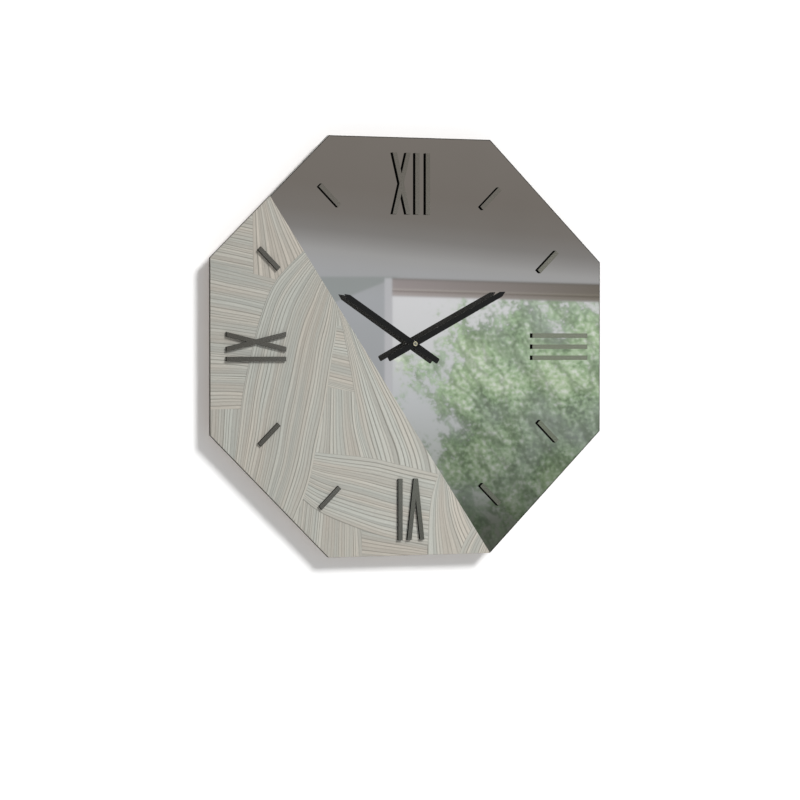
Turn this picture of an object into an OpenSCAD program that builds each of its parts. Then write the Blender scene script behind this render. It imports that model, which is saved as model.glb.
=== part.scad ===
// Octagonal wall clock: mirror and combed-wood face, raised numerals, quartz movement.
// Millimetres. +Z is up, the face looks along -Y, and the wall is the plane y = 0.
// The origin is where the nail carries the hanger, so the dial centre lies below it.

/* [Face] */
// Face width across the flats of the octagon
face_across = 500; // [460:10:600]
// Thickness of the board behind the facings
board_t = 3; // [2:0.5:6]
// Thickness of the mirror and of the wood facing
facing_t = 2; // [1.5:0.5:4]
// Where the split meets the upper left edge, as a share of that edge
split_share = 0.5; // [0.3:0.05:0.7]

/* [Numerals and bars] */
// Height of a numeral along its radius
numeral_h = 73.5; // [60:0.5:80]
// Gap between a numeral's outer end and the rim
numeral_margin = 18.5; // [12:0.5:28]
// Width of a cut stroke
stroke_w = 5.5; // [4:0.25:6.5]
// How far numerals and bars stand off the face
mark_t = 4; // [2:0.5:5]
// Width of the letter X
x_width = 23; // [20:0.5:26]
// Width of the letter V
v_width = 22; // [19:0.5:25]
// Clear gap between two letters I
stroke_gap = 8; // [5:0.5:10]
// Clear gap between an I and an X or V
letter_gap = 6; // [4:0.5:9]
// Length of a slanted hour bar
bar_length = 34; // [24:1:42]
// Gap from the rim's flat radius to the middle of a bar
bar_margin = 43.5; // [36:0.5:50]

/* [Hands] */
// Rise of the hands' axis above the middle of the face
axis_rise = 3.5; // [0:0.5:8]
// Hour hand from the axis to its tip
hour_reach = 105.5; // [80:0.5:125]
// Hour hand from the axis to the end of its tail
hour_tail = 38.5; // [20:0.5:50]
// Minute hand from the axis to its tip
minute_reach = 133; // [110:1:150]
// Minute hand from the axis to the end of its tail
minute_tail = 38.5; // [20:0.5:50]
// Width of both hands at the axis
hand_w = 7; // [6:0.1:8.5]
// Width of both hands where the point starts
hand_tip_w = 6.4; // [5:0.1:8]
// Length of the pencil point
hand_point = 6.5; // [3:0.5:12]
// Sheet thickness of the hands
hand_t = 0.8; // [0.5:0.1:1.2]
// Hour hand's angle, clockwise from twelve
hour_angle = 303.8; // [0:0.1:360]
// Minute hand's angle, clockwise from twelve
minute_angle = 61.8; // [0:0.1:360]
// Gap from the face to the back of the hour hand
hour_stand = 10; // [9:0.5:14]
// Gap from the front of the hour hand to the back of the minute hand
hand_gap = 4.2; // [2:0.1:8]
// Outer diameter of the minute hand's nut
hand_nut_d = 5.5; // [4.6:0.1:7]
// Thickness of the minute hand's nut
hand_nut_t = 1.8; // [1.2:0.1:2.6]

/* [Stand-off frame] */
// Outside width and height of the frame
frame_w = 300; // [260:5:330]
// Width of a frame member
member_w = 25; // [24:1:35]
// Thickness of a wall bumper
bumper_t = 2.5; // [2:0.25:4]
// Diameter of a wall bumper
bumper_d = 14; // [10:1:20]

/* [Hanger] */
// Thickness of the keyhole plate
plate_t = 1; // [0.8:0.1:1.2]
// Length of the keyhole plate
plate_len = 46; // [42:1:60]
// Height of the keyhole plate
plate_h = 22; // [21:0.5:23.5]
// Diameter of the hole that the nail's head enters
entry_d = 9; // [7.5:0.5:9.5]
// Width of the slot above it
slot_w = 4.5; // [4:0.1:5]
// Rise from the entry hole's centre to the nail's rest
slot_rise = 7; // [6.5:0.25:7.5]
// Distance between the two screws
screw_pitch = 34; // [32:1:38]

/* [Movement] */
// Wall of the movement's case
case_wall = 1.2; // [1:0.1:1.3]
// Battery diameter
battery_d = 14.5; // [14.2:0.1:14.8]
// Battery length with its button
battery_len = 50.5; // [49.2:0.1:50.8]
// Thread diameter of the centre bush
bush_d = 8; // [7:0.25:9]
// Outer diameter of the hour tube
hour_tube_d = 5.1; // [4.6:0.1:5.4]
// Diameter of the minute arbor
minute_arbor_d = 3.3; // [2.8:0.1:3.6]
// Across flats of the centre nut
nut_across = 10; // [9.5:0.25:11]
// Thickness of the centre nut
nut_t = 2.5; // [2:0.25:3]
// Thickness of the washer under it
washer_t = 0.5; // [0.4:0.1:0.8]
// Thickness of the rubber gasket behind the board
gasket_t = 0.6; // [0.4:0.1:1.5]
// Depth of the battery's contact spring
spring_depth = 2; // [1.5:0.1:4]
// Diameter of the setting knob
knob_d = 10.8; // [9:0.2:11.2]
// Module of the going train's teeth
train_module = 0.28; // [0.26:0.005:0.285]
// Module of the motion work's teeth
motion_module = 0.35; // [0.32:0.005:0.36]
// Radial clearance of a turning fit
running_gap = 0.05; // [0.03:0.01:0.08]

/* [Hidden] */
$fn = 48;

// Small gaps
seat_gap = 0.1;
axial_play = 0.3;
step_gap = 0.5;
wall_gap = 1.4;

// Movement: depths d run back from the front of the case
case_depth = case_wall + battery_d + 3 * seat_gap;
hour_wheel_t = 1.2;
pinion_over = 0.1;
wheel_t = 0.8;
minute_pinion_t = 1.7;
plate_thick = 1;
hour_wheel_d = case_wall + axial_play;
minute_wheel_d = hour_wheel_d + minute_pinion_t;
cannon_d = hour_wheel_d + hour_wheel_t + axial_play;
cannon_t = 1.6;
mid_plate_d = cannon_d + cannon_t + axial_play;
mid_plate_back = mid_plate_d + plate_thick;
centre_wheel_d = mid_plate_back + axial_play;
arbor_back = centre_wheel_d + wheel_t + pinion_over;
third_wheel_d = centre_wheel_d + wheel_t + step_gap;
seconds_wheel_d = third_wheel_d + wheel_t + step_gap;
step_wheel_d = seconds_wheel_d + wheel_t + step_gap;
bridge_d = step_wheel_d + wheel_t + axial_play;
bridge_back = bridge_d + plate_thick;
cover_d = case_depth - case_wall;
stand_off = gasket_t + case_depth + wall_gap;

// Planes along Y
case_front = gasket_t - stand_off;
board_back = -stand_off;
face_y = board_back - board_t - facing_t;
hour_hand_back = face_y - hour_stand;
minute_hand_back = hour_hand_back - hand_t - hand_gap;
bush_len = gasket_t + board_t + facing_t + washer_t + nut_t + 3;

// Dial
side = face_across * (sqrt(2) - 1);
half_across = face_across / 2;
rail_mid = frame_w / 2 - member_w / 2;
hang_drop = rail_mid + slot_rise / 2;
axis_drop = hang_drop - axis_rise;
dial_hole = bush_d / 2 + 0.2;
numeral_mid = half_across - numeral_margin - numeral_h / 2;
stroke_pitch = stroke_w + stroke_gap;
letter_pitch = stroke_w + letter_gap;
bar_radius = half_across - bar_margin;

// Hub
hour_tube_r = hour_tube_d / 2;
arbor_r = minute_arbor_d / 2;
thread_r = arbor_r - 0.3;
flat_half = thread_r - 0.35;
hub_r = hand_w / 2 + 0.9;
hour_tube_front = hour_hand_back - hand_t - 0.4;
arbor_front = minute_hand_back - hand_t - hand_nut_t + 0.3;

// Gear train: tooth counts give 30, 60 and 12 to one
leaves = 8;
centre_teeth = 64;
third_teeth = 60;
seconds_teeth = 64;
step_teeth = 30;
cannon_teeth = 12;
minute_teeth = 36;
minute_leaves = 10;
hour_teeth = 40;
third_distance = (centre_teeth + leaves) * train_module / 2;
third_module = 2 * third_distance / (third_teeth + leaves);
step_distance = (seconds_teeth + leaves) * train_module / 2;
rotor_distance = (step_teeth + leaves) * train_module / 2;
motion_distance = (cannon_teeth + minute_teeth) * motion_module / 2;
hour_module = 2 * motion_distance / (minute_leaves + hour_teeth);
third_dir = 135;
step_dir = 20;
rotor_dir = 50;
minute_dir = 60;
setting_dir = 90;
third_at = polar(third_distance, third_dir);
step_at = polar(step_distance, step_dir);
rotor_at = step_at + polar(rotor_distance, rotor_dir);
minute_at = polar(motion_distance, minute_dir);
setting_at = minute_at + polar(motion_distance, setting_dir);
pivot_r = 0.35;
arbor_body_r = 0.5;
setting_r = 1;

// Motor; its sideways measures follow the case
magnet_r = 2.6;
magnet_t = 3;
rotor_bore_r = 3;
stator_t = 0.8;
stator_d = seconds_wheel_d - step_gap - stator_t - 0.1;
leg_w = 2.7;
link_low = step_at[1] + 1.05;
link_high = rotor_at[1] + rotor_bore_r + 1;
post_z = link_high + 2.5;
coil_z = link_high + 10.5;
coil_d = stator_d + stator_t + 0.5;
core_t = 1;
winding_r = 3.1;
flange_r = 3.5;
flange_t = 0.6;

// Case and plates: the battery sets the width, the works and the bay set the height
contact_t = 0.4;
ledge = 0.6;
ledge_low = 2;
case_in = (battery_len + 2 * contact_t + spring_depth + 3 * seat_gap) / 2;
case_half = case_in + case_wall;
works_low = -(centre_teeth / 2 + 0.9) * train_module - 1.7;
works_high = coil_z + flange_r + 0.7 + ledge;
bay_high = works_low - case_wall;
bay_low = bay_high - battery_d - 2 * seat_gap;
case_low = bay_low - case_wall;
case_high = works_high + case_wall;
battery_z = (bay_low + bay_high) / 2;
battery_mid_d = case_wall + seat_gap + battery_d / 2;
plate_half = case_in - ledge - 0.3;
plate_low = works_low + 0.9;
plate_high = works_high - ledge - 0.3;
leg_left = setting_at[0] + setting_r + 0.9;
leg_right = case_in - ledge - 0.8 - leg_w;
boss_r = 1.6;
boss_at = [[-plate_half + 3, plate_low + 2.2], [plate_half - 3, plate_low + 2.2],
    [-plate_half + 3, plate_high - 3], [leg_right - leg_w, post_z]];
notch_x = setting_at[0] + 1.1;
notch_z = setting_at[1] + setting_r + 0.5;

// Circuit and contacts
circuit_t = 0.6;
circuit_half = case_in - 6.8;
circuit_high = -2.6;
circuit_d = bridge_back + 0.05;
tab_high = circuit_high - 2.9;
tab_low = tab_high - 3;

// Setting knob
cup_d = bridge_back + 0.4;
cup_floor_t = 0.7;
cup_r = knob_d / 2 + 0.9;
cup_wall = 0.9;
knob_t = 2;
knob_back = cup_d + cup_floor_t + axial_play;

function polar(r, a) = [r * cos(a), r * sin(a)];
// Half angle lost between the pitch circle and a height above it on an epicycloid
function roll_turn(big, small, rise) =
    small / big * acos(((big + small) ^ 2 + small ^ 2 - (big + rise) ^ 2)
        / (2 * (big + small) * small));
function flank_angle(big, small, rise) =
    let (t = roll_turn(big, small, rise), k = (big + small) / small)
    atan2((big + small) * sin(t) - small * sin(k * t),
        (big + small) * cos(t) - small * cos(k * t));
// Phase of a follower's first tooth so that it meshes with a wheel whose first tooth is at 0
function mesh_phase(wheel_teeth, pinion_teeth, dir) =
    dir + 180 - (0.5 - dir * wheel_teeth / 360) * 360 / pinion_teeth;

// A 2D outline about the middle of the face, given a thickness towards the viewer
module slab(back, thick, drop = hang_drop) {
    translate([0, back, -drop]) rotate([90, 0, 0]) linear_extrude(thick) children();
}

// The same about the hands' axis
module hub(back, thick) { slab(back, thick, axis_drop) children(); }

// The same between two depths of the movement
module layer(d0, d1) { hub(case_front + d1, d1 - d0) children(); }

module disc(r, at = [0, 0]) { translate(at) circle(r); }

// Clock wheel: straight roots, then flanks cut short of an epicycloid for a pinion
module wheel_2d(teeth, mod, mate) {
    pitch = teeth * mod / 2;
    half = 90 / teeth;
    rise = 0.9 * mod;
    tip = half - flank_angle(pitch, mate * mod / 4, rise);
    root = pitch - 1.1 * mod;
    polygon([for (i = [0 : teeth - 1]) let (a = i * 360 / teeth)
        each [polar(root, a - half), polar(pitch, a - half), polar(pitch + rise, a - tip),
            polar(pitch + rise, a + tip), polar(pitch, a + half), polar(root, a + half)]]);
}

// Pinion: radial leaves, thinner than their space, with rounded tips
module pinion_2d(count, mod) {
    pitch = count * mod / 2;
    half = 1.05 / count * 180 / PI;
    root = pitch - 1.35 * mod;
    polygon([for (i = [0 : count - 1]) let (a = i * 360 / count)
        each [polar(root, a - half), polar(pitch, a - half),
            polar(pitch + 0.35 * mod, a - 0.7 * half), polar(pitch + 0.5 * mod, a),
            polar(pitch + 0.35 * mod, a + 0.7 * half), polar(pitch, a + half),
            polar(root, a + half)]]);
}

// Round lightening holes in a wheel's web
module web_holes(mid, r, count) {
    for (i = [0 : count - 1]) disc(r, polar(mid, (i + 0.5) * 360 / count));
}

module octagon() {
    rotate(22.5) circle(half_across / cos(22.5), $fn = 8);
}

// Part of the plane that lies to the lower left of the split line
module lower_left() {
    split_top = [-side / 2, half_across] + split_share * [side / 2 - half_across, side / 2 - half_across];
    split_foot = [side / 2, -half_across];
    run = split_foot - split_top;
    polygon([split_foot + run, split_top - run, [-2 * face_across, half_across],
        [-2 * face_across, -2 * face_across]]);
}

module base_board() {
    color("#3c3630") slab(board_back, board_t) difference() {
        octagon();
        disc(dial_hole, [0, axis_rise]);
    }
}

module mirror_panel() {
    color("#8a8880") slab(board_back - board_t, facing_t) difference() {
        octagon();
        lower_left();
        disc(dial_hole, [0, axis_rise]);
    }
}

module wood_panel() {
    color("#b8b2a8") slab(board_back - board_t, facing_t) intersection() {
        octagon();
        lower_left();
    }
}

// A stroke from the foot to the head of a letter, cut level at both ends
module stroke(foot, head, width) {
    low = -numeral_h / 2;
    high = numeral_h / 2;
    polygon([[foot - width / 2, low], [foot + width / 2, low],
        [head + width / 2, high], [head - width / 2, high]]);
}

module letter_i(at) { translate([at, 0]) stroke(0, 0, stroke_w); }

module letter_x(at) {
    arm = (x_width - stroke_w) / 2;
    translate([at, 0]) union() {
        stroke(-arm, arm, stroke_w);
        stroke(arm, -arm, stroke_w);
    }
}

module letter_v(at) {
    arm = (v_width - stroke_w) / 2;
    translate([at, 0]) union() {
        stroke(0, -arm, stroke_w);
        stroke(0, arm, stroke_w);
    }
}

// A numeral at its hour, its head towards the rim
module numeral(hour) {
    color("#5f5c56") slab(face_y, mark_t)
        rotate(-30 * hour) translate([0, numeral_mid]) children();
}

module numeral_xii() {
    total = x_width + letter_pitch + stroke_pitch;
    numeral(12) {
        letter_x(-total / 2 + x_width / 2);
        letter_i(total / 2 - stroke_w / 2 - stroke_pitch);
        letter_i(total / 2 - stroke_w / 2);
    }
}

module numeral_iii() {
    numeral(3) for (i = [-1 : 1]) letter_i(i * stroke_pitch);
}

module numeral_vi() {
    total = v_width + letter_pitch;
    numeral(6) {
        letter_v(-total / 2 + v_width / 2);
        letter_i(total / 2 - stroke_w / 2);
    }
}

module numeral_ix() {
    total = x_width + letter_pitch;
    numeral(9) {
        letter_i(-total / 2 + stroke_w / 2);
        letter_x(total / 2 - x_width / 2);
    }
}

// The bars lie square to the nearest slanting edge
module hour_ticks() {
    color("#5f5c56") slab(face_y, mark_t)
        for (hour = [1, 2, 4, 5, 7, 8, 10, 11])
            translate(polar(bar_radius, 90 - 30 * hour))
                rotate(90 * floor(hour / 3) - 45)
                    square([stroke_w, bar_length], center = true);
}

// Flat baton hand pointing up, with a pencil point
module hand_2d(reach, tail) {
    tip = hand_tip_w / 2;
    root = hand_w / 2;
    ease = 1;
    polygon([[0, reach], [tip, reach - hand_point], [root, 0], [root, ease - tail],
        [root - ease, -tail], [ease - root, -tail], [-root, ease - tail], [-root, 0],
        [-tip, reach - hand_point]]);
}

// The child is the hole in the hand
module hand(back, angle, reach, tail) {
    color("#1c1e1e") {
        hub(back, hand_t) difference() {
            rotate(-angle) hand_2d(reach, tail);
            children();
        }
        hub(back, hand_t) difference() {
            disc(hub_r);
            children();
        }
    }
}

module hour_hand() { hand(hour_hand_back, hour_angle, hour_reach, hour_tail) disc(hour_tube_r); }

// Round shaft with two flats that turn with the minute hand
module flatted(r, half) {
    rotate(-minute_angle) intersection() {
        circle(r);
        square([2 * half, 4 * r], center = true);
    }
}

module minute_hand() {
    hand(minute_hand_back, minute_angle, minute_reach, minute_tail)
        flatted(thread_r + 0.03, flat_half + 0.03);
}

module minute_nut() {
    r = hand_nut_d / 2;
    bore = thread_r + 0.03;
    rim = 0.45;
    color("#b9b49a") translate([0, minute_hand_back - hand_t, -axis_drop]) rotate([90, 0, 0])
        rotate_extrude() polygon([[bore, 0], [r, 0], [r, hand_nut_t - rim],
            [r - rim, hand_nut_t], [bore + rim, hand_nut_t], [bore, hand_nut_t - rim]]);
}

// Straight frame members, with the keyhole's pocket in the top rail
module rail(z) {
    translate([0, z]) square([frame_w, member_w], center = true);
}

module stile(x) {
    translate([x, 0]) square([member_w, frame_w - 2 * member_w], center = true);
}

module pocket() {
    r = entry_d / 2 + 1;
    translate([0, rail_mid]) {
        for (s = [-1, 1]) disc(r, [0, s * slot_rise / 2]);
        square([2 * r, slot_rise], center = true);
    }
}

pocket_depth = 8;
member_depth = stand_off - bumper_t;

module rail_top() {
    color("#a48a68") {
        slab(-bumper_t - pocket_depth, member_depth - pocket_depth) rail(rail_mid);
        slab(-bumper_t, pocket_depth) difference() {
            rail(rail_mid);
            pocket();
            for (s = [-1, 1]) disc(screw_r, [s * screw_pitch / 2, rail_mid]);
        }
    }
}

module rail_bottom() { color("#a48a68") slab(-bumper_t, member_depth) rail(-rail_mid); }

module stile_left() { color("#a48a68") slab(-bumper_t, member_depth) stile(-rail_mid); }

module stile_right() { color("#a48a68") slab(-bumper_t, member_depth) stile(rail_mid); }

screw_r = 1.5;
screw_head_r = 3;
screw_head_t = 1.1;
screw_len = plate_t + pocket_depth - 0.5;

module hanger_plate() {
    color("#b4b6b8") slab(plate_t - bumper_t, plate_t) translate([0, rail_mid]) difference() {
        rounded_rect(plate_len, plate_h, 4);
        disc(entry_d / 2, [0, -slot_rise / 2]);
        translate([-slot_w / 2, -slot_rise / 2]) square([slot_w, slot_rise]);
        disc(slot_w / 2, [0, slot_rise / 2]);
        for (s = [-1, 1]) disc(screw_r + 0.2, [s * screw_pitch / 2, 0]);
    }
}

module hanger_screws() {
    color("#c0c1c2") for (s = [-1, 1])
        translate([s * screw_pitch / 2, plate_t - bumper_t, rail_mid - hang_drop])
            rotate([90, 0, 0]) rotate_extrude() polygon([[0, -screw_head_t],
                [0.6 * screw_head_r, -screw_head_t], [screw_head_r, -0.4 * screw_head_t],
                [screw_head_r, 0], [screw_r, 0], [screw_r, screw_len - 3], [0, screw_len]]);
}

module wall_bumpers() {
    color("#2b2b2b") slab(0, bumper_t)
        for (sx = [-1, 1], sz = [-1, 1]) disc(bumper_d / 2, rail_mid * [sx, sz]);
}

module rounded_rect(w, h, r) {
    union() {
        square([w, h - 2 * r], center = true);
        square([w - 2 * r, h], center = true);
        for (sx = [-1, 1], sz = [-1, 1]) disc(r, [sx * (w / 2 - r), sz * (h / 2 - r)]);
    }
}

module area(x0, z0, x1, z1) { translate([x0, z0]) square([x1 - x0, z1 - z0]); }

corner_r = 3;
bush_root_r = bush_d / 2 + 1.2;
scoop_half = 8;

module case_2d() {
    translate([0, (case_low + case_high) / 2])
        rounded_rect(2 * case_half, case_high - case_low, corner_r);
}

module movement_case() {
    color("#26282a") {
        layer(0, case_wall) difference() {
            case_2d();
            disc(bush_root_r + running_gap);
        }
        layer(case_wall, cup_d - 1) case_walls(true);
        layer(cup_d - 1, cover_d) case_walls(false);
        layer(cover_d, case_depth) difference() {
            case_2d();
            area(-case_in, bay_low, case_in, works_high);
            area(-scoop_half, 2 * case_low, scoop_half, 0);
        }
        for (p = boss_at) layer(case_wall, mid_plate_d) disc(boss_r, p);
        layer(case_wall, minute_wheel_d + wheel_t) disc(pivot_r + 0.3, minute_at);
        layer(case_wall, minute_wheel_d - pinion_over - axial_play) translate(setting_at)
            ring(setting_r + 1, setting_r + running_gap);
    }
}

// Walls between floor and cover, with or without the contacts' slots in the partition
module case_walls(whole) {
    difference() {
        case_2d();
        area(-case_in, bay_low, case_in, bay_high);
        area(-case_in, works_low, case_in, works_high);
        if (!whole) area(-case_in, bay_low, -case_in + contact_t + 0.2, works_low + 1);
        if (!whole) area(case_in - contact_t - 0.2, bay_low, case_in, works_low + 1);
        if (!whole) area(-scoop_half, 2 * case_low, scoop_half, battery_z);
    }
    area(-case_in, ledge_low, ledge - case_in, works_high);
    area(case_in - ledge, ledge_low, case_in, works_high);
    area(-case_in, works_high - ledge, case_in, works_high);
}

module threaded_bush() {
    color("#b8a468") difference() {
        union() {
            hub(case_front, bush_len) disc(bush_d / 2);
            layer(0, case_wall) disc(bush_root_r);
        }
        hub(case_front + 2 * case_wall, 3 * case_wall + bush_len)
            disc(hour_tube_r + running_gap);
    }
}

module ring(outer, inner) {
    difference() {
        disc(outer);
        disc(inner);
    }
}

module rubber_gasket() {
    color("#1d1d1d") hub(board_back + gasket_t, gasket_t) ring(bush_d / 2 + 6, bush_d / 2 + 0.05);
}

module face_washer() {
    color("#3a3a3a") hub(face_y, washer_t) ring(bush_d / 2 + 2, bush_d / 2 + 0.05);
}

module bush_nut() {
    color("#2c2c2c") hub(face_y - washer_t, nut_t) difference() {
        circle(nut_across / 2 / cos(30), $fn = 6);
        disc(bush_d / 2 + 0.05);
    }
}

module hour_wheel() {
    color("#d8d4c8") difference() {
        union() {
            layer(hour_wheel_d, hour_wheel_d + hour_wheel_t)
                wheel_2d(hour_teeth, hour_module, minute_leaves);
            hub(case_front + hour_wheel_d, case_front + hour_wheel_d - hour_tube_front)
                disc(hour_tube_r);
        }
        hub(case_front + hour_wheel_d + 2 * hour_wheel_t,
            case_front + hour_wheel_d + 4 * hour_wheel_t - hour_tube_front)
            disc(arbor_r + running_gap);
    }
}

module minute_wheel() {
    color("#e4e0d4") translate_2d(minute_at) {
        layer(hour_wheel_d, minute_wheel_d + wheel_t) difference() {
            rotate(mesh_phase(hour_teeth, minute_leaves, minute_dir))
                pinion_2d(minute_leaves, hour_module);
            disc(pivot_r + 0.3 + running_gap);
        }
        layer(minute_wheel_d, minute_wheel_d + wheel_t) difference() {
            wheel_2d(minute_teeth, motion_module, cannon_teeth);
            disc(pivot_r + 0.3 + running_gap);
        }
    }
}

// Moves a piece of the works across the dial plane
module translate_2d(at) { translate([at[0], 0, at[1]]) children(); }

// Lengths set end to end; the rear one carries the hole for the seconds wheel's pivot
module minute_arbor() {
    cannon_back = cannon_d + cannon_t;
    color("#c9cacb") {
        layer(arbor_back - 1.5, arbor_back) ring(arbor_r, pivot_r + running_gap);
        layer(cannon_back, arbor_back - 1.5) disc(arbor_r);
        layer(cannon_d, cannon_back)
            rotate(mesh_phase(minute_teeth, cannon_teeth, minute_dir + 180))
                pinion_2d(cannon_teeth, motion_module);
        hub(case_front + cannon_d, case_front + cannon_d - minute_hand_back) disc(arbor_r);
        hub(minute_hand_back, minute_hand_back - arbor_front) flatted(thread_r, flat_half);
    }
}

module centre_wheel() {
    color("#c8b070") layer(centre_wheel_d, centre_wheel_d + wheel_t) difference() {
        wheel_2d(centre_teeth, train_module, leaves);
        disc(arbor_r + 0.02);
        web_holes(0.6 * centre_teeth * train_module / 2, 1.6, 5);
    }
}

module third_wheel() {
    color("#e4e0d4") translate_2d(third_at) {
        layer(mid_plate_d, mid_plate_back + 0.1) disc(pivot_r);
        layer(mid_plate_back + 0.1, bridge_d - 0.2) disc(arbor_body_r);
        layer(centre_wheel_d - pinion_over, third_wheel_d)
            rotate(mesh_phase(centre_teeth, leaves, third_dir)) pinion_2d(leaves, train_module);
        layer(third_wheel_d, third_wheel_d + wheel_t) difference() {
            wheel_2d(third_teeth, third_module, leaves);
            web_holes(0.58 * third_teeth * third_module / 2, 1.5, 5);
        }
        layer(bridge_d - 0.2, bridge_back) disc(pivot_r);
    }
}

module seconds_wheel() {
    color("#e4e0d4") {
        layer(arbor_back - 1.2, arbor_back + 0.1) disc(pivot_r);
        layer(arbor_back + 0.1, bridge_d - 0.2) disc(arbor_body_r);
        layer(third_wheel_d - pinion_over, seconds_wheel_d)
            rotate(mesh_phase(third_teeth, leaves, third_dir + 180)) pinion_2d(leaves, third_module);
        layer(seconds_wheel_d, seconds_wheel_d + wheel_t) difference() {
            wheel_2d(seconds_teeth, train_module, leaves);
            web_holes(0.6 * seconds_teeth * train_module / 2, 1.6, 5);
        }
        layer(bridge_d - 0.2, bridge_back) disc(pivot_r);
    }
}

module step_wheel() {
    color("#e4e0d4") translate_2d(step_at) {
        layer(mid_plate_d, mid_plate_back + 0.1) disc(pivot_r);
        layer(mid_plate_back + 0.1, bridge_d - 0.2) disc(arbor_body_r);
        layer(seconds_wheel_d - pinion_over, step_wheel_d)
            rotate(mesh_phase(seconds_teeth, leaves, step_dir)) pinion_2d(leaves, train_module);
        layer(step_wheel_d, step_wheel_d + wheel_t)
            wheel_2d(step_teeth, train_module, leaves);
        layer(bridge_d - 0.2, bridge_back) disc(pivot_r);
    }
}

module rotor() {
    magnet_d = stator_d + stator_t / 2 - magnet_t / 2;
    color("#4a4a50") translate_2d(rotor_at) {
        layer(mid_plate_d, mid_plate_back + 0.1) disc(pivot_r);
        layer(mid_plate_back + 0.1, bridge_d - 0.2) disc(arbor_body_r);
        layer(magnet_d, magnet_d + magnet_t) disc(magnet_r);
        layer(step_wheel_d - pinion_over, step_wheel_d + wheel_t + pinion_over)
            rotate(mesh_phase(step_teeth, leaves, rotor_dir)) pinion_2d(leaves, train_module);
        layer(bridge_d - 0.2, bridge_back) disc(pivot_r);
    }
}

module pivot_holes() {
    for (p = [third_at, step_at, rotor_at]) disc(pivot_r + running_gap, p);
    disc(setting_r + running_gap, setting_at);
}

module mid_plate() {
    color("#d9d6cc") {
        layer(mid_plate_d, mid_plate_back) difference() {
            area(-plate_half, plate_low, plate_half, plate_high);
            area(notch_x, notch_z, case_half, case_high);
            pivot_holes();
            disc(arbor_r + running_gap);
        }
        for (p = boss_at) layer(mid_plate_back, bridge_d) disc(boss_r, p);
        for (x = [leg_left, leg_right])
            layer(mid_plate_back, stator_d) disc(leg_w / 2 - 0.3, [x + leg_w / 2, post_z]);
    }
}

module train_bridge() {
    color("#d9d6cc") layer(bridge_d, bridge_back) difference() {
        union() {
            area(-plate_half, plate_low, plate_half - 1, notch_z);
            area(-plate_half, notch_z, notch_x, plate_high);
        }
        pivot_holes();
        disc(pivot_r + running_gap);
    }
}

module stator() {
    color("#8d8f92") layer(stator_d, stator_d + stator_t) difference() {
        union() {
            area(leg_left, link_low, leg_right + leg_w, link_high);
            for (x = [leg_left, leg_right]) area(x, link_low, x + leg_w, coil_z + 2);
        }
        disc(rotor_bore_r, rotor_at);
    }
}

module coil_core() {
    core_d = stator_d + stator_t;
    color("#a2a4a6") layer(core_d, core_d + core_t)
        area(leg_left, coil_z - 1.3, leg_right + leg_w, coil_z + 1.3);
}

// The coil lies along X between the stator's legs
module along_x(x0, x1, r) {
    translate([x0, case_front + coil_d, coil_z - axis_drop])
        rotate([0, 90, 0]) cylinder(h = x1 - x0, r = r);
}

coil_x0 = leg_left + leg_w + 0.1;
coil_x1 = leg_right - 0.1;

module core_hole() {
    core_d = stator_d + stator_t;
    layer(core_d - 0.05, core_d + core_t + 0.05)
        area(coil_x0 - 1, coil_z - 1.35, coil_x1 + 1, coil_z + 1.35);
}

bobbin_r = 1.9;

module coil_bobbin() {
    color("#e8e6de") difference() {
        union() {
            along_x(coil_x0, coil_x1, bobbin_r);
            along_x(coil_x0, coil_x0 + flange_t, flange_r);
            along_x(coil_x1 - flange_t, coil_x1, flange_r);
        }
        core_hole();
    }
}

module coil_winding() {
    color("#a8562c") difference() {
        along_x(coil_x0 + flange_t, coil_x1 - flange_t, winding_r);
        along_x(coil_x0, coil_x1, bobbin_r);
    }
}

module circuit_board() {
    color("#2f6b3c") layer(circuit_d, circuit_d + circuit_t)
        area(-circuit_half, plate_low + 0.4, circuit_half, circuit_high);
}

module chip_cover() {
    color("#111213") translate_2d([-3, (plate_low + circuit_high) / 2])
        layer(circuit_d + circuit_t, circuit_d + circuit_t + 0.7) disc(1.8);
}

crystal_r = 0.7;

module quartz_crystal() {
    color("#c4c6c8")
        translate([4, case_front + circuit_d + circuit_t + crystal_r, -4.6 - axis_drop])
            rotate([0, 90, 0]) cylinder(h = 5, r = crystal_r);
}

// Bent strip at one end of the bay, with a tab on the circuit board
module contact(side_sign) {
    wall_x = side_sign * (case_in - contact_t / 2);
    layer(3, circuit_d + circuit_t + contact_t) translate([wall_x, 0])
        area(-contact_t / 2, battery_z - 5, contact_t / 2, bay_high - 0.6);
    layer(cup_d - 0.9, circuit_d + circuit_t + contact_t) translate([wall_x, 0])
        area(-contact_t / 2, bay_high - 0.6, contact_t / 2, tab_high);
    layer(circuit_d + circuit_t, circuit_d + circuit_t + contact_t)
        area(min(side_sign * (circuit_half - 2), side_sign * case_in), tab_low,
            max(side_sign * (circuit_half - 2), side_sign * case_in), tab_high);
}

module contact_plus() { color("#d0d2d4") contact(-1); }

module contact_minus() {
    inner = case_in - contact_t;
    color("#d0d2d4") {
        contact(1);
        layer(battery_mid_d - 2, battery_mid_d + 2) polygon([[inner, battery_z - 4.5],
            [inner, battery_z - 4], [inner - spring_depth + contact_t, battery_z + 0.5],
            [inner, battery_z + 4], [inner, battery_z + 4.5],
            [inner - spring_depth, battery_z + 0.5]]);
    }
}

module battery() {
    start = -case_in + contact_t + 0.1;
    button = 1.3;
    turn = battery_d / 2;
    edge = 0.8;
    color("#31596b") translate([start, case_front + battery_mid_d, battery_z - axis_drop])
        rotate([0, 90, 0]) rotate_extrude() polygon([[0, 0], [2.7, 0], [2.7, button],
            [turn - edge, button], [turn, button + edge], [turn, battery_len - edge],
            [turn - edge, battery_len], [0, battery_len]]);
}

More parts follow.
